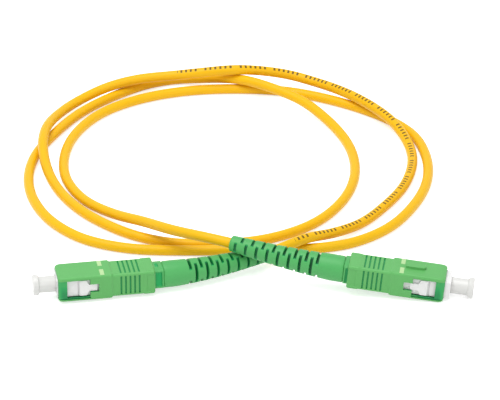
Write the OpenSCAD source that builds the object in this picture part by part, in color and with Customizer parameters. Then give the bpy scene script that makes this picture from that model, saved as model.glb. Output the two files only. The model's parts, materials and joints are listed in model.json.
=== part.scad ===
// Simplex fibre patch cord: two push-pull plugs with angled ferrules on one loosely coiled cable.
// Each plug is drawn in its own frame: the plug frame's front face at x = 0, nose towards +x,
// key on +z, and everything behind it at negative x. place(end) then lays it on the table.

/* [Grip] */
// Width of the grip across its wide faces
grip_w = 9.0; // [8.8:0.05:9.4]
// Height of the grip across its windowed sides
grip_h = 7.4; // [7.2:0.05:7.8]
// Length of the grip along the plug
grip_len = 26.5; // [25.5:0.5:28]
// Length of the full-size front part that enters the adapter
grip_nose_len = 14.5; // [14:0.5:15.5]
// Step down from the front part to the finger part
grip_step = 0.3; // [0.2:0.05:0.45]
// Wall left beside the plug frame
grip_wall = 0.8; // [0.7:0.05:0.9]
// Depth of the finger grooves
groove_depth = 0.3; // [0.2:0.05:0.35]
// Distance from one finger groove to the next
groove_pitch = 1.3; // [1.1:0.05:1.4]
// Number of finger grooves
groove_count = 5; // [3:1:5]
// Distance that the grip floats along the plug frame
grip_float = 2.0; // [1.5:0.1:2.4]

/* [Key and windows] */
// Width of the key that fits the adapter's keyway
key_w = 2.0; // [1.6:0.1:2.2]
// Height of the key above the wide face
key_h = 0.75; // [0.5:0.05:0.9]
// Length of the key
key_len = 5.4; // [4.5:0.1:6]
// Length of the tall part of each side window
window_len = 6.3; // [5.8:0.1:6.6]
// Height of the tall part of each side window
window_h = 5.2; // [4.8:0.1:5.4]
// Height of the narrow notch behind each window
notch_h = 2.4; // [2:0.1:2.8]

/* [Plug frame and ferrule] */
// Length of the plug frame
frame_len = 17; // [16:0.5:18]
// Diameter of the mouth that the adapter's sleeve enters
mouth_d = 4.9; // [4.7:0.05:5]
// Diameter of the ferrule
ferrule_d = 2.5; // [2.4:0.1:2.6]
// Length of the ferrule
ferrule_len = 10.5; // [10:0.5:11.5]
// Distance that the ferrule reaches past the plug frame
ferrule_reach = 5.9; // [5.5:0.1:6.2]
// Angle of the polished ferrule face
polish_angle = 8; // [5:1:9]
// Distance that the ferrule can be pushed back
ferrule_travel = 1.0; // [0.8:0.1:1.2]
// Diameter of the glass fibre
fibre_d = 0.125; // [0.12:0.005:0.14]
// Diameter of the spring's wire
spring_wire = 0.4; // [0.3:0.05:0.45]
// Number of turns of the spring
spring_turns = 6; // [5:1:7]

/* [Crimp] */
// Diameter of the post that the yarn is crimped on
post_d = 3.0; // [2.8:0.1:3.2]
// Thickness of the yarn under the crimp ring
yarn_t = 0.2; // [0.15:0.05:0.25]
// Wall of the crimp ring
crimp_wall = 0.4; // [0.3:0.05:0.45]
// Length of the crimp ring's wide part
crimp_len = 6.5; // [6:0.5:7]

/* [Boot] */
// Diameter of the boot behind the grip
boot_d = 7.3; // [6.8:0.1:7.4]
// Diameter of the boot where the cable leaves it
boot_tip_d = 4.4; // [4.2:0.1:5]
// Length of the boot's smooth part, up to its first slot
boot_plain_len = 7.2; // [6:0.2:8]
// Distance from one slot to the next, which lies across it
slot_pitch = 1.55; // [1.4:0.05:1.7]
// Width of a slot
slot_w = 0.64; // [0.5:0.02:0.7]
// Number of slots, half of them up and down and half to the sides
slot_count = 16; // [12:2:16]
// Half the thickness of the web that a slot leaves
web_half = 1.8; // [1.8:0.05:1.95]

/* [Dust cap] */
// Outer diameter of the dust cap
cap_d = 4.5; // [4.2:0.1:4.6]
// Diameter of its collar
cap_collar_d = 5.7; // [5.2:0.1:5.8]
// Length of its collar
cap_collar_len = 1.5; // [1.2:0.1:2.4]
// Thickness of its closed end
cap_end_t = 0.8; // [0.6:0.1:1]
// Distance that it reaches into the plug frame's mouth
cap_entry = 1.4; // [1.2:0.1:1.6]

/* [Cable] */
// Outer diameter of the cable
cable_d = 2.9; // [2.8:0.05:2.95]
// Diameter of the buffer inside it
buffer_d = 0.9; // [0.8:0.05:0.95]

/* [Hidden] */

// Gaps between pieces
run_gap = 0.15;    // around a piece that slides
seat_gap = 0.05;   // between faces that rest on each other
fit_gap = 0.02;    // around a piece that is pushed or glued in

// Ends: index 0 is end a, on the left and lying on its key; index 1 is end b, key up
a = 0;
b = 1;
yaw = [190, -7];
pitch = [0, 5.65];
roll = [180, 0];
rest_gap = [0.3, 1.6];            // how far the plug frame stands out of the grip at rest
boot_turn = [22, 14];             // how far the boot turns sideways to its tip
boot_roll = [5, 0];               // how far the plane of that turn leans down
nose_at = [[-52.8, -7.95], [54.6, -7.1]];
origin_shift = [-0.88, -0.1, 0];  // brings the middle of the two plugs over the origin
nose_z = [grip_h / 2 + key_h, grip_h / 2 * cos(pitch[1]) - rest_gap[1] * sin(pitch[1])];

// Cavity of the grip and the outside of the plug frame
cavity_w = grip_w - 2 * grip_wall;
cavity_h = grip_h - 2 * (grip_wall + 0.1);
frame_w = cavity_w - 2 * run_gap;
frame_h = cavity_h - 2 * run_gap;
finger_w = grip_w - 2 * grip_step;
finger_h = grip_h - 2 * grip_step;
rear_wall = groove_depth + 0.35;
rear_w = finger_w - 2 * rear_wall;
rear_h = finger_h - 2 * rear_wall;
inner_w = rear_w - 2 * run_gap - 0.2;    // what slides in the finger part
inner_h = rear_h - 2 * run_gap;
frame_step_x = 0.3 - rest_gap[a] - grip_nose_len;
bulge = 0.1;                      // rise of the grip's rear end
bulge_len = 2.9;
groove_w = 0.45;
panel_len = 2.3;
panel_h = 5.2;
panel_depth = 0.12;
channel_len = window_len + 2.4;
channel_h = 0.4;
channel_depth = 0.3;
neck_w = 7.2;                     // boot's neck in the rear end
neck_h = 6.0;
neck_len = 2.8;
neck_corner = 2.2;
corner = 0.7;
lip = 0.6;                        // depth and length of the rounding of the grip's front
lip_len = 1.5;

// Places along the plug, from the front
window_x = -2.4;                  // start of the window, from the grip's front
notch_len = 2.4;
lug_x = -5.9;                     // start of the latch lug, from the plug frame's front
lug_len = 5;
lug_t = 0.5;                      // its height over the frame's side
seat_x = -(cap_entry + ferrule_travel + 0.4);
seat_t = 0.8;
flange_x = seat_x - seat_t - seat_gap;
room_d = 4.5;                     // spring's room behind the seat
flange_neck_d = 3.3;
flange_collar_d = room_d - 2 * run_gap;
flange_collar_len = 2.3;
flange_tail_d = 2.7;
flange_tail_len = 4.5;
flange_neck_len = -cap_entry - 0.25 - flange_x;
spring_x = flange_x - flange_collar_len - seat_gap;
stop_x = -12.4;
spring_len = spring_x - stop_x - seat_gap;
stop_cup = 1.2;
snap_x = -frame_len + 1.3;        // middle of the stop body's catch
post_x = -frame_len - 1.4;
post_len = crimp_len + 0.4;
post_bore_d = 1.4;
crimp_x = post_x - 0.6;
crimp_in_d = post_d + 2 * yarn_t + 2 * fit_gap;
crimp_out_d = crimp_in_d + 2 * crimp_wall;
crimp_tail_in_d = cable_d + 2 * seat_gap;
crimp_tail_out_d = crimp_tail_in_d + 2 * crimp_wall;
cable_x = crimp_x - crimp_len - 0.2;
boot_x = -(rest_gap[a] + grip_len + grip_float + 0.5);
boot_collar_x = post_x - 2.9;
crimp_end_x = boot_x - 0.2;       // the ring's tail reaches into the boot
boot_bore_d = crimp_out_d + 2 * run_gap;
boot_tip_bore_d = cable_d + 0.3;
boot_len = boot_plain_len + slot_pitch * (slot_count - 1) + 1.85;
cap_in_d = ferrule_d + 2 * fit_gap;

// Route of the cable from boot a round three turns to boot b, laid by hand
cable_route = [
  [9.5, 13, 4.3], [15, 16.9, 4.7], [22.5, 23, 3], [31, 31.5, 1.6], [38, 42, 1.5], [43, 52, 1.5],
  [46, 63, 1.5], [46.7, 74, 1.6], [45, 82.5, 2.5], [41.5, 90, 3.9], [36, 98, 4.6],
  [28.5, 107, 4.6], [20, 115.3, 3.9], [11.5, 118.2, 5.1], [3, 117.7, 6.7], [-5, 116.3, 7.7],
  [-13.5, 116.2, 6.9], [-23, 117, 5.4], [-33, 115.5, 5], [-42, 112.1, 4.1], [-50.5, 106, 2.6],
  [-56.5, 95.6, 3], [-59.3, 84, 4.5], [-59.8, 75, 4.5], [-58.5, 65, 2.6], [-55, 53.5, 1.5],
  [-49, 41.5, 1.5], [-41, 31.8, 1.5], [-31, 24, 1.5], [-21, 20.2, 1.5], [-10, 19.8, 1.5],
  [0, 21, 1.5], [9, 24.7, 1.5], [17.5, 31.3, 1.5], [25, 42.5, 1.5], [29.5, 57, 1.5],
  [30, 70, 1.5], [27.5, 83.5, 1.5], [22.5, 94.3, 2.3], [15.5, 103.3, 3.8], [6.5, 110, 4.8],
  [-2.5, 115.6, 4.8], [-9, 119.3, 3.4], [-15, 121.8, 2.1], [-22, 122.4, 1.5], [-30, 119.4, 1.5],
  [-38.5, 112.9, 1.5], [-48.5, 102, 1.5], [-57, 86.5, 1.5], [-62, 72.5, 1.5], [-63.2, 58, 1.5], [-60.5, 43.5, 1.5],
  [-54.5, 31.3, 1.5], [-46, 22.5, 1.5], [-34, 17.3, 1.5], [-18, 16, 1.5], [0, 16.6, 1.5],
  [15, 16.8, 1.5], [27, 19.7, 1.5], [37.5, 27.7, 1.5], [46, 42, 1.5], [50.6, 58, 1.5],
  [50.7, 73, 1.5], [47.7, 85.5, 1.5], [40.5, 96, 1.5], [32, 103.5, 1.5], [22, 109.7, 1.5],
  [10, 114.5, 1.5], [-4, 116, 1.5], [-19, 114.5, 1.5], [-31.5, 109.8, 1.5], [-42.5, 101.3, 1.5],
  [-50.3, 88, 1.5], [-53.5, 72, 1.5], [-52.3, 58, 1.5], [-46.5, 45, 1.6], [-38.5, 35, 2.9],
  [-29.5, 25, 5.7], [-20.5, 14.5, 8.5], [-12.5, 8.5, 9.8]
];
ring_step = 12;

// Lays one end's plug on the table
module place(end)
  translate(origin_shift + [nose_at[end].x, nose_at[end].y, nose_z[end]])
    rotate([0, 0, yaw[end]]) rotate([0, pitch[end], 0]) rotate([roll[end], 0, 0]) children();

// The same move for a point or, with origin = 0, for a direction
function turn_x(p, t) = [p.x, p.y * cos(t) - p.z * sin(t), p.y * sin(t) + p.z * cos(t)];
function turn_y(p, t) = [p.x * cos(t) + p.z * sin(t), p.y, -p.x * sin(t) + p.z * cos(t)];
function turn_z(p, t) = [p.x * cos(t) - p.y * sin(t), p.x * sin(t) + p.y * cos(t), p.z];
function placed(p, end) =
  turn_z(turn_y(turn_x(p, roll[end]), pitch[end]), yaw[end])
  + [nose_at[end].x, nose_at[end].y, nose_z[end]] + origin_shift;

// Rectangle with round corners, centred
module round_rect(w, h, r) {
  square([w - 2 * r, h], center = true);
  square([w, h - 2 * r], center = true);
  for (x = [-1, 1], y = [-1, 1])
    translate([x * (w / 2 - r), y * (h / 2 - r)]) circle(r, $fn = 32);
}

// Bar along x from x0 back to x1 with a round-cornered section
module bar(x0, x1, w, h, r)
  translate([x1, 0, 0]) rotate([90, 0, 90]) linear_extrude(x0 - x1) round_rect(w, h, r);

// Round rod along x from x0 back to x1
module rod(x0, x1, d, d1 = 0)
  translate([x1, 0, 0]) rotate([0, 90, 0])
    cylinder(h = x0 - x1, d1 = d1 == 0 ? d : d1, d2 = d, $fn = 64);

// ---- Grip

// Half outline of the grip along x: full size in front, then the finger part with its rear bulge
function grip_outline(half) =
  let (g = grip_len, n = grip_nose_len, s = half - grip_step)
  concat([for (t = [0:22.5:90]) [-lip_len * (1 - cos(t)), half - lip * (1 - sin(t))]],
         [[-n, half], [-n - 0.5, s], [-g + bulge_len + 0.3, s], [-g + bulge_len, s + bulge],
          [-g + 0.3, s + bulge], [-g, s + bulge - 0.25]]);

module grip_profile(half) {
  upper = grip_outline(half);
  polygon(concat(upper, [for (i = [len(upper) - 1:-1:0]) [upper[i].x, -upper[i].y]]));
}

module grip_body()
  intersection() {
    translate([0, 0, -grip_h]) linear_extrude(2 * grip_h) grip_profile(grip_w / 2);
    translate([0, grip_w, 0]) rotate([90, 0, 0]) linear_extrude(2 * grip_w)
      grip_profile(grip_h / 2);
    bar(1, -grip_len - 1, grip_w, grip_h, corner);
  }

// Grooves across the four flats, with the corners left standing
module finger_grooves()
  for (i = [0:groove_count - 1], side = [-1, 1])
    translate([-grip_nose_len - 3.3 - i * groove_pitch, 0, 0]) {
      translate([0, side * finger_w / 2, 0])
        cube([groove_w, 2 * groove_depth, finger_h - 2 * corner], center = true);
      translate([0, 0, side * finger_h / 2])
        cube([groove_w, finger_w - 2 * corner, 2 * groove_depth], center = true);
    }

module side_windows()
  translate([0, grip_w, 0]) rotate([90, 0, 0]) linear_extrude(2 * grip_w) {
    translate([window_x - window_len, -window_h / 2]) square([window_len, window_h]);
    translate([window_x - window_len - notch_len, -notch_h / 2])
      square([notch_len + 0.1, notch_h]);
  }

module grip_key()
  translate([-6.2 - key_len, -key_w / 2, grip_h / 2 - 0.3]) {
    cube([key_len - key_w / 2, key_w, key_h + 0.3]);
    translate([key_len - key_w / 2, key_w / 2, 0]) cylinder(h = key_h + 0.3, d = key_w, $fn = 32);
  }

// Shallow panels moulded in the sides of the rear bulge
module rear_panels()
  for (side = [-1, 1])
    translate([-grip_len, side * (finger_w / 2 + bulge), 0])
      cube([2 * panel_len, 2 * panel_depth, panel_h], center = true);

// Shallow channels below and above each side window, open at the front
module side_channels()
  for (side = [-1, 1], edge = [-1, 1])
    translate([-channel_len / 2 + 0.5, side * grip_w / 2, edge * (window_h / 2 + channel_h / 2)])
      cube([channel_len + 1, 2 * channel_depth, channel_h], center = true);

module grip()
  color("limegreen") difference() {
    union() {
      grip_body();
      grip_key();
    }
    bar(1, -grip_nose_len, cavity_w, cavity_h, 0.5);
    bar(-grip_nose_len + 1, -grip_len - 1, rear_w, rear_h, 0.5);
    bar(-grip_len + bulge_len - 0.3, -grip_len - 1, neck_w + 2 * run_gap, neck_h + 2 * run_gap, 1);
    side_windows();
    finger_grooves();
    rear_panels();
    side_channels();
  }

// ---- Plug frame

// Latch lug on the side of the frame, which the adapter's hooks catch
module lug_outline()
  polygon([[lug_x, -window_h / 2 + 0.35], [lug_x - 2.1, -window_h / 2 + 0.35],
           [lug_x - 2.8, -notch_h / 2 + 0.25], [lug_x - lug_len, -notch_h / 2 + 0.25],
           [lug_x - lug_len, notch_h / 2 - 0.25], [lug_x - 2.8, notch_h / 2 - 0.25],
           [lug_x - 2.1, window_h / 2 - 0.35], [lug_x, window_h / 2 - 0.35]]);

module plug_frame()
  color("white") difference() {
    union() {
      bar(0, frame_step_x, frame_w, frame_h, 0.45);
      bar(frame_step_x + 0.5, -frame_len, inner_w, inner_h, 0.45);
      intersection() {
        translate([0, frame_w, 0]) rotate([90, 0, 0]) linear_extrude(2 * frame_w) lug_outline();
        translate([0, 0, -frame_h]) linear_extrude(2 * frame_h)
          polygon([[lug_x, -frame_w / 2 - 0.1], [lug_x - 0.4, -frame_w / 2 - lug_t],
                   [lug_x - lug_len, -frame_w / 2 - lug_t], [lug_x - lug_len, frame_w / 2 + lug_t],
                   [lug_x - 0.4, frame_w / 2 + lug_t], [lug_x, frame_w / 2 + 0.1]]);
      }
    }
    // mouth, ferrule seat and spring room
    rod(1, seat_x, mouth_d);
    rod(1, -frame_len - 1, flange_neck_d + 2 * run_gap);
    rod(seat_x - seat_t, -frame_len - 1, room_d);
    // groove in front of the lugs
    for (side = [-1, 1])
      translate([lug_x + 0.15, side * frame_w / 2, 0]) cube([0.3, 0.5, frame_h + 1], center = true);
    // snap windows for the stop body
    translate([snap_x, 0, 0]) cube([1.4, 2.2, frame_h + 1], center = true);
  }

// ---- Ferrule group

module ferrule()
  color("snow") difference() {
    rotate([0, 90, 0]) rotate([0, 0, 90]) rotate_extrude($fn = 64)
      polygon([[0, ferrule_reach - ferrule_len], [ferrule_d / 2 - 0.15, ferrule_reach - ferrule_len],
               [ferrule_d / 2, ferrule_reach - ferrule_len + 0.3],
               [ferrule_d / 2, ferrule_reach - 0.9], [ferrule_d / 2 - 0.5, ferrule_reach - 0.15],
               [0, ferrule_reach]]);
    rod(ferrule_reach + 1, ferrule_reach - ferrule_len - 1, fibre_d + fit_gap / 10);
    // angled face, polished across the key
    translate([ferrule_reach - 0.12, 0, 0]) rotate([0, polish_angle, 0])
      translate([0, -3, -3]) cube([3, 6, 6]);
  }

module fibre()
  color("lightcyan") rod(ferrule_reach - 0.3, ferrule_reach - ferrule_len, fibre_d);

module ferrule_flange() {
  neck_end = flange_x + flange_neck_len;
  collar_end = flange_x - flange_collar_len;
  tail_end = collar_end - flange_tail_len;
  ferrule_end = ferrule_reach - ferrule_len;
  color("gainsboro") difference() {
    rotate([0, 90, 0]) rotate([0, 0, 90]) rotate_extrude($fn = 64)
      polygon([[ferrule_d / 2 + fit_gap, neck_end], [flange_neck_d / 2, neck_end],
               [flange_neck_d / 2, flange_x], [flange_collar_d / 2, flange_x],
               [flange_collar_d / 2, collar_end], [flange_tail_d / 2, collar_end],
               [flange_tail_d / 2, tail_end], [buffer_d / 2 + run_gap, tail_end],
               [buffer_d / 2 + run_gap, ferrule_end], [ferrule_d / 2 + fit_gap, ferrule_end]]);
    // notches that keep the ferrule from turning
    for (side = [-1, 1])
      translate([flange_x - 0.8, 0, side * flange_collar_d / 2])
        cube([2, 0.9, 0.7], center = true);
  }
}

// Closed end turns and open turns: the wire's centre climbs with the angle
spring_r = flange_collar_d / 2 - spring_wire / 2;
spring_sides = 6;
spring_steps = 16;
function spring_centre(k) =
  let (t = k / spring_steps, free = spring_len - spring_wire)
  [spring_x - spring_wire / 2 - free * t / spring_turns,
   spring_r * cos(360 * t), spring_r * sin(360 * t)];
function spring_ring(k) =
  let (t = k / spring_steps, c = spring_centre(k))
  [for (i = [0:spring_sides - 1])
     let (u = 360 * i / spring_sides, out = spring_wire / 2 * cos(u))
     c + [-spring_wire / 2 * sin(u), out * cos(360 * t), out * sin(360 * t)]];

module spring()
  color("silver") tube([for (k = [0:spring_steps * spring_turns]) spring_ring(k)]);

// Closed skin over a row of rings that all have as many points
module tube(rings) {
  n = len(rings[0]);
  last = len(rings) - 1;
  polyhedron(
    points = [for (ring = rings) for (p = ring) p],
    faces = concat(
      [[for (i = [0:n - 1]) i]],
      [for (k = [0:last - 1]) for (i = [0:n - 1])
         let (j = (i + 1) % n)
         for (f = [[k * n + i, (k + 1) * n + i, k * n + j],
                   [k * n + j, (k + 1) * n + i, (k + 1) * n + j]]) f],
      [[for (i = [n - 1:-1:0]) last * n + i]]));
}

// ---- Rear of the plug

module stop_body()
  color("silver") difference() {
    union() {
      rod(stop_x, -frame_len, room_d - 2 * fit_gap);
      translate([snap_x, 0, 0]) cube([1.2, 2, inner_h - 0.2], center = true);
      bar(-frame_len - seat_gap, post_x, inner_w, inner_h, 0.5);
      rod(-frame_len + 0.2, post_x - post_len, post_d);
    }
    rod(stop_x + 1, stop_x - stop_cup, flange_tail_d + 2 * run_gap);
    rod(0, post_x - post_len - 1, post_bore_d);
    // rings cut in the post to bite on the yarn
    for (i = [1:5])
      translate([post_x - i * 1.1, 0, 0]) rotate([0, 90, 0])
        rotate_extrude($fn = 48) translate([post_d / 2 - 0.12, 0]) square([0.3, 0.4]);
  }

module buffer()
  color("ivory")
    rod(ferrule_reach - ferrule_len - ferrule_travel - 0.3, cable_x + 0.1, buffer_d);

module yarn()
  color("gold") difference() {
    rod(crimp_x + 0.4, crimp_x - crimp_len + 0.5, post_d + 2 * yarn_t);
    rod(crimp_x + 1, crimp_x - crimp_len, post_d + fit_gap);
  }

module crimp_ring()
  color("lightgray") difference() {
    union() {
      rod(crimp_x, crimp_x - crimp_len, crimp_out_d);
      rod(crimp_x - crimp_len + 0.1, crimp_end_x, crimp_tail_out_d);
    }
    rod(crimp_x + 1, crimp_x - crimp_len + crimp_wall, crimp_in_d);
    rod(crimp_x, crimp_end_x - 1, crimp_tail_in_d);
  }

// ---- Boot: a straight collar in the grip, then a body that turns sideways as it tapers

function boot_angle(s, end) = boot_turn[end] * (1 - pow(1 - s / boot_len, 2));
boot_steps = concat([0, boot_plain_len / 2],
                    [for (i = [0:slot_count - 1]) boot_plain_len + i * slot_pitch], [boot_len]);
function boot_centre(k, end) =
  k == 0 ? [boot_x, 0]
  : let (s0 = boot_steps[k - 1], s1 = boot_steps[k], t = boot_angle((s0 + s1) / 2, end))
    boot_centre(k - 1, end) + (s1 - s0) * [-cos(t), sin(t)];
function boot_r(s) =
  let (cone = max(0, s - boot_plain_len / 2) / (boot_len - boot_plain_len / 2))
  (boot_d + (boot_tip_d - boot_d) * cone) / 2;

boot_sides = 28;

// Ring of radius r square to the boot's line, dist beyond its step k
function boot_ring(k, end, r, dist = 0) =
  let (t = boot_angle(boot_steps[k], end), c = boot_centre(k, end) + dist * [-cos(t), sin(t)])
  [for (i = [0:boot_sides - 1])
     let (u = 360 * i / boot_sides)
     turn_x([c.x + r * cos(u) * sin(t), c.y + r * cos(u) * cos(t), -r * sin(u)], boot_roll[end])];

// Slot cutter with its narrow face on the web, a little wider outside so that the mould draws
module slot_cutter()
  hull() {
    translate([-slot_w / 2, -boot_d, web_half]) cube([slot_w, 2 * boot_d, 0.1]);
    translate([-slot_w * 0.58, -boot_d, boot_d]) cube([slot_w * 1.16, 2 * boot_d, 0.1]);
  }

module boot_slots(end)
  for (i = [0:slot_count - 1])
    rotate([boot_roll[end], 0, 0])
      translate([boot_centre(i + 2, end).x, boot_centre(i + 2, end).y, 0])
        rotate([0, 0, -boot_angle(boot_steps[i + 2], end)])
          for (side = [0, 180])
            rotate([i % 2 == 0 ? side : side + 90, 0, 0]) slot_cutter();

module boot(end) {
  last = len(boot_steps) - 1;
  color("mediumseagreen") difference() {
    union() {
      bar(boot_collar_x, boot_x + 1, inner_w, inner_h, 0.9);
      bar(boot_x + neck_len, boot_x - 0.5, neck_w, neck_h, neck_corner);
      tube([for (k = [0:last]) boot_ring(k, end, boot_r(boot_steps[k]))]);
    }
    rod(boot_collar_x + 1, crimp_end_x - 0.5, boot_bore_d);
    tube(concat([boot_ring(0, end, boot_tip_bore_d / 2, -0.2)],
                [for (k = [1:2:last - 1]) boot_ring(k, end, boot_tip_bore_d / 2)],
                [for (dist = [0, 1]) boot_ring(last, end, boot_tip_bore_d / 2, dist)]));
    boot_slots(end);
    // recesses in the four sides of the neck
    for (side = [-1, 1]) {
      translate([boot_x + 1.35, side * neck_w / 2, 0])
        cube([1.8, 0.9, neck_h - 1.7], center = true);
      translate([boot_x + 1.6, 0, side * neck_h / 2]) cube([0.9, 2.6, 0.6], center = true);
    }
  }
}

// ---- Dust cap

module dust_cap()
  color("whitesmoke") difference() {
    union() {
      rod(ferrule_reach + cap_end_t, -cap_entry, cap_d);
      rod(ferrule_reach + cap_end_t, ferrule_reach + cap_end_t - cap_collar_len, cap_collar_d);
    }
    rod(ferrule_reach + seat_gap, -cap_entry - 1, cap_in_d);
  }

// ---- Cable

function unit(v) = v / norm(v);
// The boot's line as points in the table's frame, for the stretch of cable inside it
function boot_line(end) =
  concat([[cable_x, 0, 0]],
         [for (k = [1, 6, 12, len(boot_steps) - 1])
            turn_x([boot_centre(k, end).x, boot_centre(k, end).y, 0], boot_roll[end])]);
function reversed(list) = [for (i = [len(list) - 1:-1:0]) list[i]];
cable_points = concat([for (p = boot_line(a)) placed(p, a)],
                      [for (p = cable_route) p + origin_shift],
                      reversed([for (p = boot_line(b)) placed(p, b)]));

// Smooth curve through the points: each point's direction is weighted by its two spans
function span(p, i) = norm(p[i + 1] - p[i]);
function heading(p, i) =
  i == 0 ? unit(p[1] - p[0])
  : i == len(p) - 1 ? unit(p[i] - p[i - 1])
  : let (d0 = span(p, i - 1), d1 = span(p, i))
    ((p[i] - p[i - 1]) / d0 * d1 + (p[i + 1] - p[i]) / d1 * d0) / (d0 + d1);
function between(p, i, t) =
  let (d = span(p, i))
  (2 * t * t * t - 3 * t * t + 1) * p[i] + (t * t * t - 2 * t * t + t) * d * heading(p, i)
  + (3 * t * t - 2 * t * t * t) * p[i + 1] + (t * t * t - t * t) * d * heading(p, i + 1);
function smooth(p, step) =
  concat([for (i = [0:len(p) - 2])
            let (n = max(1, round(span(p, i) / step)))
            for (k = [0:n - 1]) between(p, i, k / n)],
         [p[len(p) - 1]]);

cable_line = smooth(cable_points, ring_step);
cable_sides = 8;
function cable_ring(i) =
  let (p = cable_line, m = len(p) - 1,
       along = unit(p[min(i + 1, m)] - p[max(i - 1, 0)]),
       side = unit(cross([0, 0, 1], along)), up = cross(along, side))
  [for (k = [0:cable_sides - 1])
     let (t = 360 * (k + 0.5) / cable_sides)
     p[i] + cable_d / 2 * (cos(t) * side + sin(t) * up)];

module cable()
  color("orange") tube([for (i = [0:len(cable_line) - 1]) cable_ring(i)]);

// ---- Every piece in its place

module grip_a() place(a) translate([-rest_gap[a], 0, 0]) grip();
module plug_frame_a() place(a) plug_frame();
module ferrule_a() place(a) ferrule();
module fibre_a() place(a) fibre();
module ferrule_flange_a() place(a) ferrule_flange();
module spring_a() place(a) spring();
module stop_body_a() place(a) stop_body();
module buffer_a() place(a) buffer();
module yarn_a() place(a) yarn();
module crimp_ring_a() place(a) crimp_ring();
module boot_a() place(a) boot(a);
module dust_cap_a() place(a) dust_cap();

module grip_b() place(b) translate([-rest_gap[b], 0, 0]) grip();
module plug_frame_b() place(b) plug_frame();
module ferrule_b() place(b) ferrule();
module fibre_b() place(b) fibre();
module ferrule_flange_b() place(b) ferrule_flange();
module spring_b() place(b) spring();
module stop_body_b() place(b) stop_body();
module buffer_b() place(b) buffer();
module yarn_b() place(b) yarn();
module crimp_ring_b() place(b) crimp_ring();
module boot_b() place(b) boot(b);
module dust_cap_b() place(b) dust_cap();

grip_a();
plug_frame_a();
ferrule_a();
fibre_a();
ferrule_flange_a();
spring_a();
stop_body_a();
buffer_a();
yarn_a();
crimp_ring_a();
boot_a();
dust_cap_a();
grip_b();
plug_frame_b();
ferrule_b();
fibre_b();
ferrule_flange_b();
spring_b();
stop_body_b();
buffer_b();
yarn_b();
crimp_ring_b();
boot_b();
dust_cap_b();
cable();
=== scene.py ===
import json
import math

import bpy
import numpy as np
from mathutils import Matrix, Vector


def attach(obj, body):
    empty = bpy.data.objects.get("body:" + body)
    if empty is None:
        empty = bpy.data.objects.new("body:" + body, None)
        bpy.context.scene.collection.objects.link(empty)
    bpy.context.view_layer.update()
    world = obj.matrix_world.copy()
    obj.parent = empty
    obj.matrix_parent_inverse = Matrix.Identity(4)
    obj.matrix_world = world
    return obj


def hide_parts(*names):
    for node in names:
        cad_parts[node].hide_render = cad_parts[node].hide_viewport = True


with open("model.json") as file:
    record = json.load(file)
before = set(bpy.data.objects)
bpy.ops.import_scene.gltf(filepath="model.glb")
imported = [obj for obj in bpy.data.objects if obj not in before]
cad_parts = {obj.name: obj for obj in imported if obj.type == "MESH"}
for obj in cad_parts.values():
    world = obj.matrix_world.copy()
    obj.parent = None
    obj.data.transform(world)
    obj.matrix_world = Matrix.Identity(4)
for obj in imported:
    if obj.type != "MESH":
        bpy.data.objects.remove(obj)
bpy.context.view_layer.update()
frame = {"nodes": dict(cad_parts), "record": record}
mm = 0.001
hair = 0.01   # mm within which two places count as one
least = 0.05  # keeps a division from zero
print("frame loaded")


cameraSetup = {
    "target": (-0.88, 48.4, 0),  # middle of the view on the table, mm
    "elevation": 28.04,          # degrees above the table
    "distance": 1200,
    "lens": 304.8,
    "sensor": 36,                # its width
    "clip": (0.01, 50),          # metres
}


def addCamera(setup):
    data = bpy.data.cameras.new("camera")
    data.lens = setup["lens"]
    data.sensor_width = setup["sensor"]
    data.clip_start, data.clip_end = setup["clip"]
    camera = bpy.data.objects.new("camera", data)
    bpy.context.scene.collection.objects.link(camera)
    tilt = math.radians(setup["elevation"])
    x, y, z = (value * mm for value in setup["target"])
    reach = setup["distance"] * mm
    camera.location = (x, y - reach * math.cos(tilt), z + reach * math.sin(tilt))
    camera.rotation_euler = (math.pi / 2 - tilt, 0, 0)
    bpy.context.scene.camera = camera


addCamera(cameraSetup)
print("camera set")


def gridFaces(rows, cols):
    # quads of a grid of rows by cols points, row by row, whose last column joins its first
    i, j = np.meshgrid(np.arange(rows - 1), np.arange(cols), indexing="ij")
    k = (j + 1) % cols
    return np.stack([i * cols + j, i * cols + k, (i + 1) * cols + k, (i + 1) * cols + j], -1).reshape(-1, 4)


def facesOutward(points, faces):
    # the faces, turned over if the solid they bound comes out with a negative volume, which is the
    # sum of the triple products of each face's corners
    p = points.reshape(-1, 3)
    p = (p - p.mean(0))[faces]
    volume = (np.cross(p[:, 1], p[:, 2]) * p[:, 0]).sum() + (np.cross(p[:, 2], p[:, 3]) * p[:, 0]).sum()
    return faces[:, ::-1] if volume < 0 else faces


def addMesh(name, points, faces, finish, sharp=35, recessShade=None):
    mesh = bpy.data.meshes.new(name)
    mesh.from_pydata(np.asarray(points).reshape(-1, 3).tolist(), [], faces)
    mesh.update()
    mesh.polygons.foreach_set("use_smooth", np.full(len(mesh.polygons), True))
    mesh.set_sharp_from_angle(angle=math.radians(sharp))
    # a point attribute of painted shade, 0 in the open and 1 where a recess is darkest
    if recessShade is not None:
        held = mesh.attributes.new("recessShade", "FLOAT", "POINT")
        held.data.foreach_set("value", np.ravel(recessShade).astype(np.float32))
    mesh.materials.append(finish)
    piece = bpy.data.objects.new(name, mesh)
    bpy.context.scene.collection.objects.link(piece)
    return piece


def addRings(name, rings, finish, sharp=35):
    # a closed skin over rings of points, with a flat face on the first ring and on the last
    rows, cols = rings.shape[:2]
    quads = gridFaces(rows, cols)
    turned = facesOutward(rings, quads)
    ends = [list(range(cols - 1, -1, -1)), list(range((rows - 1) * cols, rows * cols))]
    if turned is not quads:
        ends = [ring[::-1] for ring in ends]
    return addMesh(name, rings, turned.tolist() + ends, finish, sharp)


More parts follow.
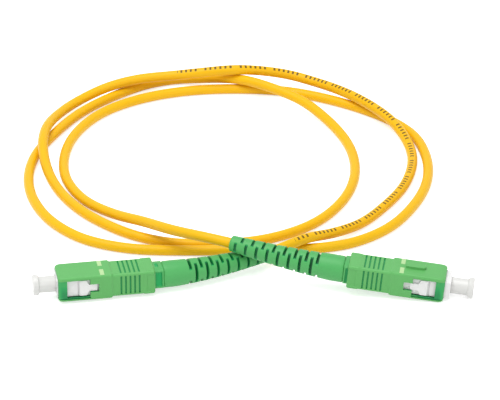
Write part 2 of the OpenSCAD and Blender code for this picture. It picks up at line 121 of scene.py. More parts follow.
def wallFaces(faces, count):
    # the kept faces, the same ones turned inwards on a second skin whose points follow after count
    # points, and a wall along every edge that only one face has
    edges = np.stack([faces, np.roll(faces, -1, 1)], -1).reshape(-1, 2)
    _, first, total = np.unique(np.sort(edges, 1), axis=0, return_index=True, return_counts=True)
    rim = edges[first[total == 1]]
    walls = np.stack([rim[:, 1], rim[:, 0], rim[:, 0] + count, rim[:, 1] + count], 1)
    return np.vstack([faces, faces[:, ::-1] + count, walls])


def plugFrame(end):
    # where a plug lies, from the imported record: its face, and its axes to the nose, to a side and
    # to the key
    mount = next(m for m in frame["record"]["mounts"] if m["name"] == f"plug_{end}_face")
    nose = np.array(mount["axis"], float)
    nose /= np.linalg.norm(nose)
    side = np.cross([0, 0, 1], nose)
    side /= np.linalg.norm(side)
    turnedOver = -1 if end == "a" else 1  # plug a lies on its key
    axes = np.stack([nose, turnedOver * side, turnedOver * np.cross(nose, side)])
    return np.array(mount["pos_m"], float), axes


plugFrames = {end: plugFrame(end) for end in "ab"}


def place(points, end):
    # millimetres in the plug's own frame to metres in the row frame
    origin, axes = plugFrames[end]
    return origin + np.asarray(points, float) * mm @ axes


def startMaterial(name):
    material = bpy.data.materials.new(name)
    material.use_nodes = True
    nodes = material.node_tree.nodes
    return material, nodes, material.node_tree.links, nodes["Principled BSDF"]


def attributeOf(nodes, name):
    held = nodes.new("ShaderNodeAttribute")
    held.attribute_name = name
    return held


def noiseOf(nodes, links, scale, detail=3):
    coords = nodes.new("ShaderNodeTexCoord")
    noise = nodes.new("ShaderNodeTexNoise")
    noise.inputs["Scale"].default_value = scale
    noise.inputs["Detail"].default_value = detail
    links.new(coords.outputs["Object"], noise.inputs["Vector"])
    return noise.outputs["Fac"]


def rangeOf(nodes, links, value, low, high):
    part = nodes.new("ShaderNodeMapRange")
    part.inputs["To Min"].default_value = low
    part.inputs["To Max"].default_value = high
    links.new(value, part.inputs["Value"])
    return part.outputs["Result"]


def mixOf(nodes, links, fac, first, second, blend="MIX"):
    mix = nodes.new("ShaderNodeMixRGB")
    mix.blend_type = blend
    for socket, value in (("Fac", fac), ("Color1", first), ("Color2", second)):
        if isinstance(value, (int, float)):
            mix.inputs[socket].default_value = value
        elif isinstance(value, tuple):
            mix.inputs[socket].default_value = (*value, 1)
        else:
            links.new(value, mix.inputs[socket])
    return mix.outputs["Color"]


def mathOf(nodes, links, operation, first, second=0.0):
    step = nodes.new("ShaderNodeMath")
    step.operation = operation
    for socket, value in zip(step.inputs, (first, second)):
        if isinstance(value, (int, float)):
            socket.default_value = value
        else:
            links.new(value, socket)
    return step.outputs["Value"]


tickSetup = {
    "pitch": 1.45,            # of the plain ticks, mm
    "width": 0.62,
    "group": 7,               # pitches of one group, the last of them empty
    "height": 1.1,
    "stretch": (44, 209),     # where they start and stop, from the cable's end in plug a
    "strength": 0.85,
    "color": (0.05, 0.03, 0.01),
}


def ticksOf(nodes, links):
    # how dark a row of plain ticks makes each place, from the point attribute that holds the
    # length along the cable, the distance to the row's middle line, and whether that side faces it
    t = tickSetup
    held = attributeOf(nodes, "print")
    parts = nodes.new("ShaderNodeSeparateXYZ")
    links.new(held.outputs["Vector"], parts.inputs["Vector"])
    along, aside, facing = (parts.outputs[axis] for axis in "XYZ")
    masks = [mathOf(nodes, links, "GREATER_THAN", facing, 0.0),
             mathOf(nodes, links, "LESS_THAN", mathOf(nodes, links, "ABSOLUTE", aside), t["height"] / 2),
             mathOf(nodes, links, "GREATER_THAN", along, t["stretch"][0]),
             mathOf(nodes, links, "LESS_THAN", along, t["stretch"][1])]
    rows = [(t["pitch"], t["width"]), (t["pitch"] * t["group"], t["pitch"] * (t["group"] - 1))]
    for period, filled in rows:
        share = mathOf(nodes, links, "FRACT", mathOf(nodes, links, "DIVIDE", along, period))
        masks.append(mathOf(nodes, links, "LESS_THAN", share, filled / period))
    total = t["strength"]
    for mask in masks:
        total = mathOf(nodes, links, "MULTIPLY", mask, total)
    return total


def shadedRecesses(nodes, links, tone, shadeColors):
    # painted shade: the attribute of shade in recesses turns the tone to the first of these darker colours
    # up to a half, then to the second
    for step, shadowTone in enumerate(shadeColors):
        recessShade = attributeOf(nodes, "recessShade")
        share = nodes.new("ShaderNodeMapRange")
        share.inputs["From Min"].default_value = 0.5 * step
        share.inputs["From Max"].default_value = 0.5 * step + 0.5
        links.new(recessShade.outputs["Fac"], share.inputs["Value"])
        tone = mixOf(nodes, links, share.outputs["Result"], tone, shadowTone)
    return tone


surfaceSetup = {
    "drift": 170,             # scale of the colour's drift
    "detail": 4,              # of the fine grain
    "spread": (-0.05, 0.07),  # of the roughness over the grain
    "relief": 0.0002,         # the grain's height, metres
    "scatter": 0.0006,        # reach of the light inside soft plastic, metres
}


def moulded(name, color, roughness, shade=0.05, grain=1200, bump=0.03, shadeColors=(), soft=0.0, metallic=0.0,
            gloss=0.5, printed=False):
    # a slow drift of the colour, a fine grain in gloss and surface, and painted shade in recesses
    s = surfaceSetup
    material, nodes, links, shader = startMaterial(name)
    drift = rangeOf(nodes, links, noiseOf(nodes, links, s["drift"]), 1 - shade, 1 + shade)
    tone = mixOf(nodes, links, 1.0, color, drift, "MULTIPLY")
    tone = shadedRecesses(nodes, links, tone, shadeColors)
    if printed:
        tone = mixOf(nodes, links, ticksOf(nodes, links), tone, tickSetup["color"])
    links.new(tone, shader.inputs["Base Color"])
    fine = noiseOf(nodes, links, grain, s["detail"])
    low, high = (roughness + change for change in s["spread"])
    links.new(rangeOf(nodes, links, fine, low, high), shader.inputs["Roughness"])
    relief = nodes.new("ShaderNodeBump")
    relief.inputs["Strength"].default_value = bump
    relief.inputs["Distance"].default_value = s["relief"]
    links.new(fine, relief.inputs["Height"])
    links.new(relief.outputs["Normal"], shader.inputs["Normal"])
    shader.inputs["Metallic"].default_value = metallic
    shader.inputs["Specular IOR Level"].default_value = gloss
    if soft:
        shader.inputs["Subsurface Weight"].default_value = soft
        shader.inputs["Subsurface Radius"].default_value = (1, 1, 1)
        shader.inputs["Subsurface Scale"].default_value = s["scatter"]
    return material


def metal(name, color, roughness):
    return moulded(name, color, roughness, grain=2500, bump=0.05, metallic=1.0)


# each green's two darker colours are painted shade for its recesses, the inside of the grip and the boot's
# bore
finishes = {
    "grip_plastic": moulded("gripGreen", (0.108, 0.41, 0.110), 0.42, gloss=0.35,
                            shadeColors=((0.014, 0.33, 0.085), (0.004, 0.2, 0.06))),
    "boot_rubber": moulded("bootGreen", (0.072, 0.385, 0.104), 0.44, gloss=0.35,
                           shadeColors=((0.002, 0.35, 0.085), (0.001, 0.15, 0.045))),
    "mark": moulded("markGreen", (0.42, 0.64, 0.30), 0.5, shade=0.03),
    "frame_plastic": moulded("frameWhite", (0.78, 0.77, 0.77), 0.35, shade=0.02, soft=0.2),
    "cap_plastic": moulded("capWhite", (0.66, 0.66, 0.64), 0.3, shade=0.02, soft=0.3),
    "ferrule_ceramic": moulded("zirconia", (0.85, 0.84, 0.80), 0.15, shade=0.02, bump=0.005),
    "glass_fibre": moulded("fibreGlass", (0.80, 0.88, 0.92), 0.08, shade=0.01, bump=0.005),
    "flange_metal": metal("flangeMetal", (0.62, 0.62, 0.62), 0.28),
    "spring_steel": metal("springSteel", (0.55, 0.55, 0.56), 0.25),
    "stop_metal": metal("stopMetal", (0.66, 0.66, 0.67), 0.32),
    "crimp_metal": metal("crimpMetal", (0.60, 0.60, 0.61), 0.35),
    "buffer_plastic": moulded("bufferWhite", (0.78, 0.77, 0.70), 0.4),
    "aramid_yarn": moulded("aramidYellow", (0.75, 0.52, 0.10), 0.7, shade=0.2, grain=3000, bump=0.4),
    "jacket_plastic": moulded("jacketYellow", (0.83, 0.465, 0.003), 0.4, shade=0.04, grain=1500, gloss=0.22,
                              printed=True),
}

for entry in frame["record"]["subparts"]:
    node = frame["nodes"][entry["node"]]
    node.data.materials.clear()
    node.data.materials.append(finishes[entry["material_slot"]])
print("materials made")


cableSetup = {
    "diameter": 2.9,
    "sides": 24,
    "step": 1.6,         # between rings
    "printLean": ((44, 80, 115, 165, 210), (116, 102, 82, 68, 70)),  # lengths, and degrees round it there
    "ease": 5,           # length over which the line is eased
    "start": -25.7,      # behind each plug frame's face
    "inBoot": (3.6, 13.4, 22.7),  # lengths along each boot where the line follows it
    "shift": (-0.88, -0.1, 0),    # from the route's own origin to the row's
    "route": [
        (9.5, 13, 4.3), (15, 16.9, 4.7), (22.5, 23, 3), (31, 31.5, 1.6), (38, 42, 1.5), (43, 52, 1.5),
        (46, 63, 1.5), (46.7, 74, 1.6), (45, 82.5, 2.5), (41.5, 90, 3.9), (36, 98, 4.6),
        (28.5, 107, 4.6), (20, 115.3, 3.9), (11.5, 118.2, 5.1), (3, 117.7, 6.7), (-5, 116.3, 7.7),
        (-13.5, 116.2, 6.9), (-23, 117, 5.4), (-33, 115.5, 5), (-42, 112.1, 4.1), (-50.5, 106, 2.6),
        (-56.5, 95.6, 3), (-59.3, 84, 4.5), (-59.8, 75, 4.5), (-58.5, 65, 2.6), (-55, 53.5, 1.5),
        (-49, 41.5, 1.5), (-41, 31.8, 1.5), (-31, 24, 1.5), (-21, 20.2, 1.5), (-10, 19.8, 1.5),
        (0, 21, 1.5), (9, 24.7, 1.5), (17.5, 31.3, 1.5), (25, 42.5, 1.5), (29.5, 57, 1.5),
        (30, 70, 1.5), (27.5, 83.5, 1.5), (22.5, 94.3, 2.3), (15.5, 103.3, 3.8), (6.5, 110, 4.8),
        (-2.5, 115.6, 4.8), (-9, 119.3, 3.4), (-15, 121.8, 2.1), (-22, 122.4, 1.5), (-30, 119.4, 1.5),
        (-38.5, 112.9, 1.5), (-48.5, 102, 1.5), (-57, 86.5, 1.5), (-62, 72.5, 1.5), (-63.2, 58, 1.5),
        (-60.5, 43.5, 1.5), (-54.5, 31.3, 1.5), (-46, 22.5, 1.5), (-34, 17.3, 1.5), (-18, 16, 1.5),
        (0, 16.6, 1.5), (15, 16.8, 1.5), (27, 19.7, 1.5), (37.5, 27.7, 1.5), (46, 42, 1.5),
        (50.6, 58, 1.5), (50.7, 73, 1.5), (47.7, 85.5, 1.5), (40.5, 96, 1.5), (32, 103.5, 1.5),
        (22, 109.7, 1.5), (10, 114.5, 1.5), (-4, 116, 1.5), (-19, 114.5, 1.5), (-31.5, 109.8, 1.5),
        (-42.5, 101.3, 1.5), (-50.3, 88, 1.5), (-53.5, 72, 1.5), (-52.3, 58, 1.5), (-46.5, 45, 1.6),
        (-38.5, 35, 2.9), (-29.5, 25, 5.7), (-20.5, 14.5, 8.5), (-12.5, 8.5, 9.8),
    ],
}

bootSetup = {
    "front": -29.3,      # its shoulder, behind the plug frame's face
    "neck": (2.8, 3.6, 3.0, 5),  # length, half width, half height and roundness of the neck
    "sideRecess": (0.55, 2.34, 2.15, 0.45),  # from, to, half width and depth, in each side of the neck
    "topRecess": (0.75, 1.64, 1.3, 0.3),     # the same, above and below
    "plain": 7.2,        # up to the first slot
    "pitch": 1.55,
    "slots": 16,
    "slotWidth": 0.72,
    "wall": 0.05,        # length over which the wall of a slot or of the bore's step rises
    "web": 1.68,         # half the thickness that a slot leaves
    "tail": 1.85,        # from the last slot to the tip
    "radius": 3.65,
    "tipRadius": 2.2,
    "frontRound": 0.4,
    "tipRound": 0.3,
    "bore": 1.6,
    "crimpBore": 2.2,    # round the crimp ring, up to boreStep behind the shoulder
    "boreStep": 0.7,
    "boreRings": 16,
    "shade": (0.3, 0.5),  # depth at which a recess gets its darkest painted shade, and how dark the neck's painted shade may be
    "turn": {"a": 22, "b": 14},  # degrees from shoulder to tip
    "lean": {"a": 5, "b": 0},    # of the plane that it bends in
    "sides": 72,
    "sharp": 30,         # degrees past which an edge is sharp
}
bootLength = bootSetup["plain"] + bootSetup["pitch"] * (bootSetup["slots"] - 1) + bootSetup["tail"]


def bootLine(s, end, samples=650):
    # point, side and up vector at length s: the heading grows as 1 - (1 - s / length) squared and
    # the points are its running sum; before the shoulder the line is straight
    fine = np.linspace(0, bootLength, samples)
    heading = np.radians(bootSetup["turn"][end]) * (1 - (1 - fine / bootLength) ** 2)
    steps = np.diff(fine, prepend=0)
    x = bootSetup["front"] - np.cumsum(np.cos(heading) * steps)
    y = np.cumsum(np.sin(heading) * steps)
    t = np.interp(s, fine, heading)
    lean = math.radians(bootSetup["lean"][end])
    along = np.interp(s, fine, x) - np.minimum(s, 0)
    across = np.interp(s, fine, y)
    points = np.stack([along, across * math.cos(lean), across * math.sin(lean)], -1)
    side = np.stack([np.sin(t), np.cos(t) * math.cos(lean), np.cos(t) * math.sin(lean)], -1)
    up = np.stack([0 * t, 0 * t - math.sin(lean), 0 * t + math.cos(lean)], -1)
    return points, side, up


def evenly(points, step):
    # the same line with its points at equal lengths
    along = np.concatenate([[0], np.cumsum(np.linalg.norm(np.diff(points, axis=0), axis=1))])
    marks = np.linspace(0, along[-1], int(round(along[-1] / step)) + 1)
    return np.stack([np.interp(marks, along, points[:, k]) for k in range(3)], -1)


def smoothLine(points, step, ease, fine=0.25, perSpan=40):
    # a cubic curve through the points, where the direction at each is weighted by its two spans,
    # then the running mean of its places over the length ease, with both ends kept
    p = np.asarray(points, float)
    spans = np.linalg.norm(np.diff(p, axis=0), axis=1)[:, None]
    way = np.diff(p, axis=0) / spans
    inner = (way[:-1] * spans[1:] + way[1:] * spans[:-1]) / (spans[:-1] + spans[1:])
    tangent = np.vstack([way[:1], inner, way[-1:]])
    t = np.linspace(0, 1, perSpan, endpoint=False)[None, :, None]
    leave, arrive = (tangent[:-1] * spans)[:, None], (tangent[1:] * spans)[:, None]
    curve = ((2 * t**3 - 3 * t**2 + 1) * p[:-1, None] + (t**3 - 2 * t**2 + t) * leave
             + (3 * t**2 - 2 * t**3) * p[1:, None] + (t**3 - t**2) * arrive)
    line = evenly(np.vstack([curve.reshape(-1, 3), p[-1:]]), fine)
    reach = int(ease / fine)
    weights = np.hanning(2 * reach + 3)[1:-1]
    weights /= weights.sum()
    padded = np.vstack([2 * line[0] - line[reach:0:-1], line, 2 * line[-1] - line[-2:-reach - 2:-1]])
    eased = np.stack([np.convolve(padded[:, k], weights, "valid") for k in range(3)], -1)
    return evenly(eased, step)


def cableLine(setup):
    # from plug a through its boot, along the route, and back through plug b's boot
    ends = {}
    for end in "ab":
        inside, _, _ = bootLine(np.array([*setup["inBoot"], bootLength]), end)
        ends[end] = place(np.vstack([[setup["start"], 0, 0], inside]), end) / mm
    route = np.array(setup["route"]) + setup["shift"]
    return smoothLine(np.vstack([ends["a"], route, ends["b"][::-1]]), setup["step"], setup["ease"])


def tubeRings(line, radius, sides):
    # rings square to the line, on a level side vector and the up vector square to both
    along = np.gradient(line, axis=0)
    along /= np.linalg.norm(along, axis=1)[:, None]
    side = np.cross([0, 0, 1], along)
    side /= np.linalg.norm(side, axis=1)[:, None]
    up = np.cross(along, side)
    t = np.linspace(0, 2 * np.pi, sides, endpoint=False)[None, :, None]
    return line[:, None] + radius * (np.cos(t) * side[:, None] + np.sin(t) * up[:, None])


def addCable(setup):
    line = cableLine(setup)
    rings = tubeRings(line, setup["diameter"] / 2, setup["sides"])
    piece = addRings("cableJacket", rings * mm, finishes["jacket_plastic"])
    # the row of ticks lies near the cable's top and wanders from one side of it to the other
    along = setup["step"] * np.arange(len(line))
    middle = np.radians(np.interp(along, setup["printLean"][0], setup["printLean"][1]))[:, None]
    turn = np.linspace(0, 2 * np.pi, setup["sides"], endpoint=False) - middle
    held = np.stack([along[:, None] + 0 * turn, setup["diameter"] / 2 * np.sin(turn), np.cos(turn)], -1)
    piece.data.attributes.new("print", "FLOAT_VECTOR", "POINT").data.foreach_set("vector", held.ravel())
    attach(piece, "cord")
    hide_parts("cable")


addCable(cableSetup)


def bootSkin():
    # radius at length s and angle t: a rounded rectangle for the neck, with a recess in each side
    # and a smaller one above and below, then a round body that tapers and is cut down to a flat web
    # in the slots, which lie in turn above and below and to both sides
    b = bootSetup
    neck, halfWidth, halfHeight, roundness = b["neck"]
    half, wall = b["slotWidth"] / 2, b["wall"]
    slotAt = b["plain"] + b["pitch"] * np.arange(b["slots"])
    slotEdges = slotAt[:, None] + np.array([-half - wall, -half, half, half + wall])
    recessEdges = [edge for start, stop, _, _ in (b["sideRecess"], b["topRecess"])
                   for edge in (start - hair, start, stop, stop + hair)]
    neckAt = np.array([0, 0.15, *recessEdges, neck - 2 * hair]) - neck
    frontAt = b["frontRound"] * np.array([0, 0.1, 0.3, 0.625, 1])
    plainAt = [1.2, 2.4, 3.6, 5, 6.2]
    tipAt = bootLength - np.append(b["tipRound"] * np.array([0, 1 / 6, 0.5, 1]), 0.8)
    s = np.sort(np.concatenate([neckAt, frontAt, plainAt, slotEdges.ravel(), tipAt]))
    t = np.linspace(0, 2 * np.pi, b["sides"], endpoint=False)
    c, n = np.abs(np.cos(t))[None], np.abs(np.sin(t))[None]
    # the body
    cone = np.clip((s - b["plain"] / 2) / (bootLength - b["plain"] / 2), 0, 1)
    body = b["radius"] + (b["tipRadius"] - b["radius"]) * cone
    for size, ahead in ((b["frontRound"], s), (b["tipRound"], bootLength - s)):
        body = body - size * (1 - np.sqrt(1 - np.clip(1 - ahead / size, 0, 1) ** 2))
    full = np.repeat(body[:, None], len(t), 1)
    away = np.abs(s[:, None] - slotAt[None])
    upright = (away.argmin(1) % 2 == 0)[:, None]
    cut = (away.min(1) < half + hair)[:, None]
    floor = b["web"] / np.maximum(np.where(upright, n, c), least)
    r = np.where(cut, np.minimum(full, floor), full)
    # the neck
    powers = (c / halfWidth) ** roundness + (n / halfHeight) ** roundness
    square = powers ** (-1 / roundness) + 0 * s[:, None]
    sunk = square
    recesses = ((b["sideRecess"], c, n, halfWidth), (b["topRecess"], n, c, halfHeight))
    for (start, stop, reach, depth), out, across, size in recesses:
        within = (s > start - hair / 2 - neck) & (s < stop + hair / 2 - neck)
        within = within[:, None] & (square * across < reach)
        sunk = np.where(within, np.minimum(sunk, (size - depth) / np.maximum(out, least)), sunk)
    isNeck = (s < -hair)[:, None]
    r, full = np.where(isNeck, sunk, r), np.where(isNeck, square, full)
    # painted shade: darker the further the skin lies under the full section, weaker in the neck
    darkest, neckShade = b["shade"]
    return s, t, r, np.clip((full - r) / darkest, 0, 1) * np.where(isNeck, neckShade, 1.0)


def addBoot(end):
    # the skin, then the bore from the tip back to the neck, whose last ring joins the skin's first
    s, t, r, recessShade = bootSkin()
    b = bootSetup
    neck, step = b["neck"][0], b["boreStep"]
    boreAt = np.concatenate([np.linspace(bootLength, step, b["boreRings"]), [step - b["wall"], -neck]])
    boreRadius = np.where(boreAt < step - hair, b["crimpBore"], b["bore"])
    s = np.concatenate([s, boreAt])
    r = np.vstack([r, boreRadius[:, None] + 0 * t])
    # painted shade: the whole bore is fully shaded
    recessShade = np.vstack([recessShade, 1 + 0 * boreAt[:, None] * t])
    centre, side, up = bootLine(s, end)
    outward = np.cos(t)[None, :, None] * side[:, None] - np.sin(t)[None, :, None] * up[:, None]
    rings = centre[:, None] + r[:, :, None] * outward
    faces = facesOutward(rings, gridFaces(len(s) + 1, len(t)) % (len(s) * len(t)))
    piece = addMesh(f"bendBoot_{end}", place(rings, end), faces.tolist(), finishes["boot_rubber"],
                    b["sharp"], recessShade)
    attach(piece, "cord")
    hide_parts(f"boot_{end}")


gripSetup = {
    "half": (4.5, 3.7),            # half width and half height
    "length": 26.5,
    "rest": {"a": 0.3, "b": 1.6},  # how far the plug frame stands out of it
    "corner": 0.7,
    "lip": (1.5, 0.6),             # length and depth of the front rounding
    "nose": (14.5, 0.5, 0.3),      # where the thick front part ends, over which length, by how much
    "bulge": (23.3, 23.6, 0.1),    # from, to and rise of the thicker rear end
    "rearEdge": (0.3, 0.25),       # length and depth of its chamfer
    "window": (2.4, 8.7, 2.6),     # from, to and half height of each side window's tall part
    "notch": (11.1, 1.2),          # end and half height of its narrow part
    "channel": (8.7, 0.3, 0.05),   # end of the channels along the windows, depth under and over them
    "channelEdge": 0.08,           # share of the band beside the windows outside each channel
    "bridge": (0.15, 0.4),         # depth and painted shade of the strip in front of the window
    "groove": (17.2, 1.25, 5, 0.19, 0.3),  # first, pitch, number, half width and depth
    # painted shade in the grooves at their full depth
    "grooveShade": 0.7,
    "panel": (24.2, 2.5, 0.12),    # start, half height and depth of the rear end's side panels
    "walls": (0.05, 0.08),         # length over which a groove ends, and a channel or a panel
    "cavity": ((3.7, 2.8), (3.55, 2.8), (3.75, 3.15)),  # in front, under the grooves, in the rear end
    "cavityFrom": (14.5, 23.9),    # where its second and third stretch begin
    "cavityCorner": 0.15,
    "sharp": 25,                   # degrees past which an edge is sharp
}


def gripColumns(g):
    # columns round the section: share of the half width and of the half height inside the rounded
    # corners, the way of the normal, a height added where it follows a window's edge, and its kind,
    # which is 1 along the window, 2 beside it, 3 on a wide face and 0 elsewhere
    tall, edge = g["window"][2], g["channelEdge"]
    rows = [(0, h, 1) for h in (tall, g["panel"][1], g["notch"][1])]
    upper = [(1, 0, 0), (1 - edge, edge * tall, 2), (edge, (1 - edge) * tall, 2)] + rows
    lower = [(-b, -z, kind) for b, z, kind in upper]
    sides = lower + upper[::-1]
    shares = (1, 0.97, 0.5, 0, -0.5, -0.97, -1)
    angles = np.radians([15, 35, 55, 75])
    columns = []
    for quarter in range(4):
        turn = 1 if quarter < 2 else -1
        start = quarter * np.pi / 2
        if quarter % 2 == 0:
            columns += [(turn, turn * b, turn, 0, turn * z, kind) for b, z, kind in sides]
            columns += [(turn, turn, math.cos(a + start), math.sin(a + start), 0, 0) for a in angles]
        else:
            columns += [(share * turn, turn, 0, turn, 0, 0 if abs(share) == 1 else 3) for share in shares]
            columns += [(-turn, turn, math.cos(a + start), math.sin(a + start), 0, 0) for a in angles]
    return np.array(columns).T[:, None]


def gripStations(g):
    # distance from the front, and how far the skin lies inside the full section there: a quarter
    # ellipse at the lip, then straight stretches
    arc = np.radians(np.arange(0, 91, 15))
    lipLength, lipDepth = g["lip"]
    nose, slope, step = g["nose"]
    first, pitch, count, half, _ = g["groove"]
    steep, wall = g["walls"]
    riseFrom, riseTo, rise = g["bulge"]
    rear = step - rise
    cavityEnd, panel = g["cavityFrom"][1], g["panel"][0]
    edge, edgeDepth = g["rearEdge"]
    parts = [np.stack([lipLength * (1 - np.cos(arc)), lipDepth * (1 - np.sin(arc))], 1),
             [(g["window"][0], 0), (g["window"][1], 0), (g["window"][1] + wall, 0), (g["notch"][0], 0),
              (nose, 0), (nose + slope, step)]]
    parts += [[(c - half - steep, step), (c - half, step), (c + half, step), (c + half + steep, step)]
              for c in first + pitch * np.arange(count)]
    parts += [[(riseFrom, step), (riseTo, rear), (cavityEnd, rear), (cavityEnd + steep, rear),
               (panel, rear), (panel + wall, rear), (g["length"] - edge, rear),
               (g["length"], rear + edgeDepth)]]
    return np.vstack(parts)


def gripSunk(g, end, u, inset, z0, kind):
    # how deep each point lies under the skin: grooves on the four flats, channels along the windows, a
    # strip in front of them, and panels on the rear end; and how much painted shade it gets in the grooves,
    # the channel under each window and the strip
    first, pitch, count, half, depth = g["groove"]
    nearest = first + pitch * np.round(np.clip((u - first) / pitch, 0, count - 1))
    groove = np.where((np.abs(u - nearest) < half + hair) & (kind > 0), depth, 0)
    channelEnd, under, over = g["channel"]
    below = z0 > 0 if end == "a" else z0 < 0  # the window's edge nearer to the table
    channel = np.where((u < channelEnd + hair) & (kind == 2), np.where(below, under, over), 0)
    bridgeDepth, bridgeShade = g["bridge"]
    windowStart, _, windowHalf = g["window"]
    bridge = np.where((u < windowStart + hair) & (kind == 1), bridgeDepth, 0)
    panelStart, _, panelDepth = g["panel"]
    inPanel = (u > panelStart + hair) & (kind == 1) & (np.abs(z0) < windowHalf - hair)
    front = (np.maximum(channel, bridge) - inset).clip(0)
    sunk = groove + front + np.where(inPanel, panelDepth, 0)
    shade = (g["grooveShade"] * groove / depth + np.where(below, front / under, 0)
             + bridgeShade * (bridge > 0))
    return sunk, np.clip(shade, 0, 1)


def gripOpenings(g, u, z, onSide, ny):
    # which cells of the grid the windows leave out: those between two columns of one side that lie
    # in the tall part, or in the narrow part that goes on behind it
    start, stop, tallHalf = g["window"]
    narrowStop, narrowHalf = g["notch"]
    middle = (u[:-1] + u[1:]) / 2
    reach = np.maximum(np.abs(z), np.abs(np.roll(z, -1, 1)))[:-1]
    flat = onSide & np.roll(onSide, -1, 1) & (np.roll(ny, -1, 1) == ny)
    tall = (middle < stop) & (reach < tallHalf + hair)
    narrow = (middle < narrowStop) & (reach < narrowHalf + hair)
    return flat & (middle > start) & (tall | narrow)


def addGrip(end):
    # the section carried back from the front, a second skin on the cavity's half sizes, and walls
    # between the two along every open edge
    g = gripSetup
    u, inset = gripStations(g).T[:, :, None]
    a, b, ny, nz, z0, kind = gripColumns(g)
    corner, (halfWidth, halfHeight) = g["corner"], g["half"]
    sunk, shade = gripSunk(g, end, u, inset, z0, kind)
    y = a * (halfWidth - inset - corner) + ny * corner - sunk * np.sign(ny) * (nz == 0)
    z = b * (halfHeight - inset - corner) + nz * corner + z0 - sunk * np.sign(nz) * (ny == 0)
    x = -g["rest"][end] - u + 0 * y
    outer = np.stack([x, y, z], -1)
    which = np.searchsorted(np.array(g["cavityFrom"]) + hair, u[:, 0])
    hy, hz = np.array(g["cavity"])[which].T[:, :, None]
    c = g["cavityCorner"]
    inner = np.stack([x, a * (hy - c) + ny * c, b * (hz - c) + nz * c + z0], -1)
    onSide = (nz == 0) & (ny != 0) & ((kind > 0) | (np.abs(b) == 1))
    kept = ~gripOpenings(g, u, z, onSide, ny).ravel()
    rows, cols = x.shape
    faces = facesOutward(outer, gridFaces(rows, cols))[kept]
    skin = np.concatenate([outer.reshape(-1, 3), inner.reshape(-1, 3)])
    # painted shade from the relief on the outer skin, and full painted shade on the whole inner skin
    recessShade = np.concatenate([shade.ravel(), np.ones(rows * cols)])
    piece = addMesh(f"gripShell_{end}", place(skin, end), wallFaces(faces, rows * cols).tolist(),
                    finishes["grip_plastic"], g["sharp"], recessShade)
    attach(piece, f"grip_{end}")
    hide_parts(f"grip_{end}")


keySetup = {
    "from": 5.7,        # behind the grip's front
    "length": 5.4,
    "width": 2.0,
    "height": 0.75,
    "round": 0.15,      # of its upper edge
    "sunk": 0.2,
    "sharp": 50,        # degrees past which an edge is sharp
}


def addKey(end):
    # an outline with a half round front, carried up and drawn in at the top by a quarter round
    k = keySetup
    arc = np.linspace(-np.pi / 2, np.pi / 2, 17)
    r = k["width"] / 2
    x = np.concatenate([-k["from"] - r + r * np.cos(arc), [-k["from"] - k["length"]] * 2])
    y = np.concatenate([r * np.sin(arc), [r, -r]])
    bend = np.linspace(0, np.pi / 2, 5)
    lift = np.concatenate([[-k["sunk"]], k["height"] - k["round"] * (1 - np.sin(bend))])[:, None]
    inward = np.concatenate([[0], k["round"] * (1 - np.cos(bend))])[:, None]
    middle = -k["from"] - k["length"] / 2
    rings = np.stack([middle - gripSetup["rest"][end] + (x - middle) * (1 - 2 * inward / k["length"]),
                      y * (1 - inward / r), gripSetup["half"][1] + lift + 0 * x], -1)
    piece = addRings(f"gripKey_{end}", place(rings, end), finishes["grip_plastic"], k["sharp"])
    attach(piece, f"grip_{end}")


markSetup = {
    "from": 11.5,       # behind the grip's front
    "length": 1.15,
    "inner": 1.0,       # from the middle of the wide face
    "outer": 4.05,
    "proud": 0.03,
    "sunk": 0.1,
}


def addMarks(end):
    # flat bars across each wide face that follow it over the rounded edge: a strip of the section
    # between two distances from its middle, a little proud of the face
    m, g = markSetup, gripSetup
    corner = g["corner"]
    flat = g["half"][0] - corner
    y = np.concatenate([[m["inner"]], np.linspace(flat, m["outer"], 7)])
    bow = np.sqrt(np.maximum(corner ** 2 - np.maximum(y - flat, 0) ** 2, 0))
    top = g["half"][1] - corner + bow
    section = np.concatenate([np.stack([y, top + m["proud"]], 1), np.stack([y, top - m["sunk"]], 1)[::-1]])
    for face in (-1, 1):
        for side in (-1, 1):
            ring = section * (side, face)
            x = -g["rest"][end] - m["from"] - np.array([0, m["length"]])[:, None] + 0 * ring[None, :, 0]
            rings = np.concatenate([x[:, :, None], np.repeat(ring[None], 2, 0)], -1)
            where = ("upper" if face > 0 else "lower") + ("Right" if side > 0 else "Left")
            piece = addRings(f"insertionMark_{end}_{where}", place(rings, end), finishes["mark"])
            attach(piece, f"grip_{end}")


capSetup = {
    "reach": 6.25,       # from the plug frame's face to its closed end
    "entry": 1.4,        # inside the frame's mouth
    "radius": 2.25,
    "chamfer": 0.15,     # of the open end
    "flare": ((0.5, 0), (0.2, 0.08), (0.05, 0.25)),  # distance to the collar, rise over the barrel
    "collar": (2.85, 1.5),       # radius and length
    "collarEdge": (0.12, 0.15),  # length and depth of its chamfer
    "bore": 1.27,
    "depth": 5.95,       # of its bore, just past the ferrule's tip
    "round": 0.25,
    "dome": ((0.04, 1.6), (0.05, 0.05)),  # rise and radius of two rings on the closed end
    "sides": 64,
}


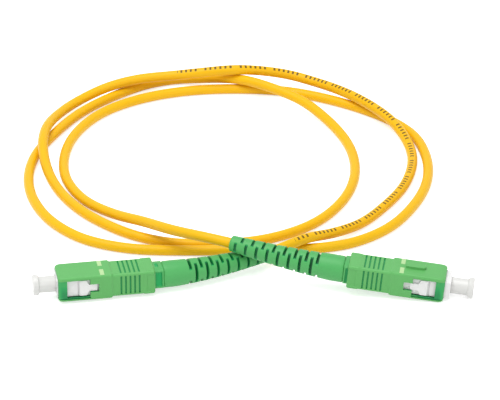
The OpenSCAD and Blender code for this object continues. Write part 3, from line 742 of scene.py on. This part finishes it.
def addCap(end):
    # profile turned about the plug's line: bore, open end, barrel, collar and domed closed end
    c = capSetup
    bend = np.radians(np.arange(0, 91, 18))
    radius, chamfer, centre = c["radius"], c["chamfer"], c["dome"][-1][1]
    big, length = c["collar"]
    start = c["reach"] - length
    edge, edgeDepth = c["collarEdge"]
    profile = np.vstack([
        [(c["depth"], centre), (c["depth"], c["bore"]), (-c["entry"], c["bore"]),
         (-c["entry"], radius - chamfer), (-c["entry"] + chamfer, radius)],
        [(start - ahead, radius + rise) for ahead, rise in c["flare"]],
        [(start, big - edgeDepth), (start + edge, big)],
        np.stack([c["reach"] - c["round"] * (1 - np.sin(bend)), big - c["round"] * (1 - np.cos(bend))], 1),
        [(c["reach"] + rise, at) for rise, at in c["dome"]]])
    t = np.linspace(0, 2 * np.pi, c["sides"], endpoint=False)
    x, r = profile[:, :1], profile[:, 1:]
    rings = np.stack([x + 0 * t, r * np.cos(t), r * np.sin(t)], -1)
    piece = addRings(f"dustCap_{end}", place(rings, end), finishes["cap_plastic"])
    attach(piece, f"cap_{end}")
    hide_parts(f"dust_cap_{end}")


for end in "ab":
    addBoot(end)
    addGrip(end)
    addKey(end)
    addMarks(end)
    addCap(end)
print("plugs dressed")


tableSetup = {
    "half": 3,          # metres
    "tone": (0.9, 0.9, 0.9, 1),
    "roughness": 0.9,
    "whitening": 0.6,   # added to it as it is seen, never to the light on the object
}

lightSetup = {
    "world": 0.62,      # its light on the object
    "aim": (0, 0.05, 0),
    "lamps": {
        "topLamp": {"at": (-0.25, -0.1, 1.1), "size": 0.9, "power": 10},
        "frontLamp": {"at": (0.6, -1.0, 0.6), "size": 0.8, "power": 2},
    },
}


def seenDirectly(nodes, links):
    # 1 for rays from the camera, from gloss and through glass
    path = nodes.new("ShaderNodeLightPath")
    total = path.outputs["Is Camera Ray"]
    for kind in ("Is Glossy Ray", "Is Transmission Ray"):
        total = mathOf(nodes, links, "MAXIMUM", total, path.outputs[kind])
    return total


def addStage(setup):
    half = setup["half"]
    corners = np.array([[-half, -half, 0], [half, -half, 0], [half, half, 0], [-half, half, 0]])
    material, nodes, links, shader = startMaterial("tableWhite")
    floor = addMesh("table", corners, [[0, 1, 2, 3]], material)
    shader.inputs["Base Color"].default_value = setup["tone"]
    shader.inputs["Roughness"].default_value = setup["roughness"]
    shader.inputs["Specular IOR Level"].default_value = 0
    shader.inputs["Emission Color"].default_value = (1, 1, 1, 1)
    links.new(rangeOf(nodes, links, seenDirectly(nodes, links), 0, setup["whitening"]),
              shader.inputs["Emission Strength"])


def addLights(setup):
    world = bpy.data.worlds.new("studio")
    world.use_nodes = True
    nodes, links = world.node_tree.nodes, world.node_tree.links
    background = nodes["Background"]
    background.inputs["Color"].default_value = (1, 1, 1, 1)
    links.new(rangeOf(nodes, links, seenDirectly(nodes, links), setup["world"], 1),
              background.inputs["Strength"])
    bpy.context.scene.world = world
    for name, lamp in setup["lamps"].items():
        data = bpy.data.lights.new(name, "AREA")
        data.energy = lamp["power"]
        data.size = lamp["size"]
        light = bpy.data.objects.new(name, data)
        bpy.context.scene.collection.objects.link(light)
        light.location = lamp["at"]
        light.rotation_euler = (Vector(setup["aim"]) - light.location).to_track_quat("-Z", "Y").to_euler()


addStage(tableSetup)
addLights(lightSetup)
bpy.context.scene.view_settings.view_transform = "Standard"
print("table and lights set")
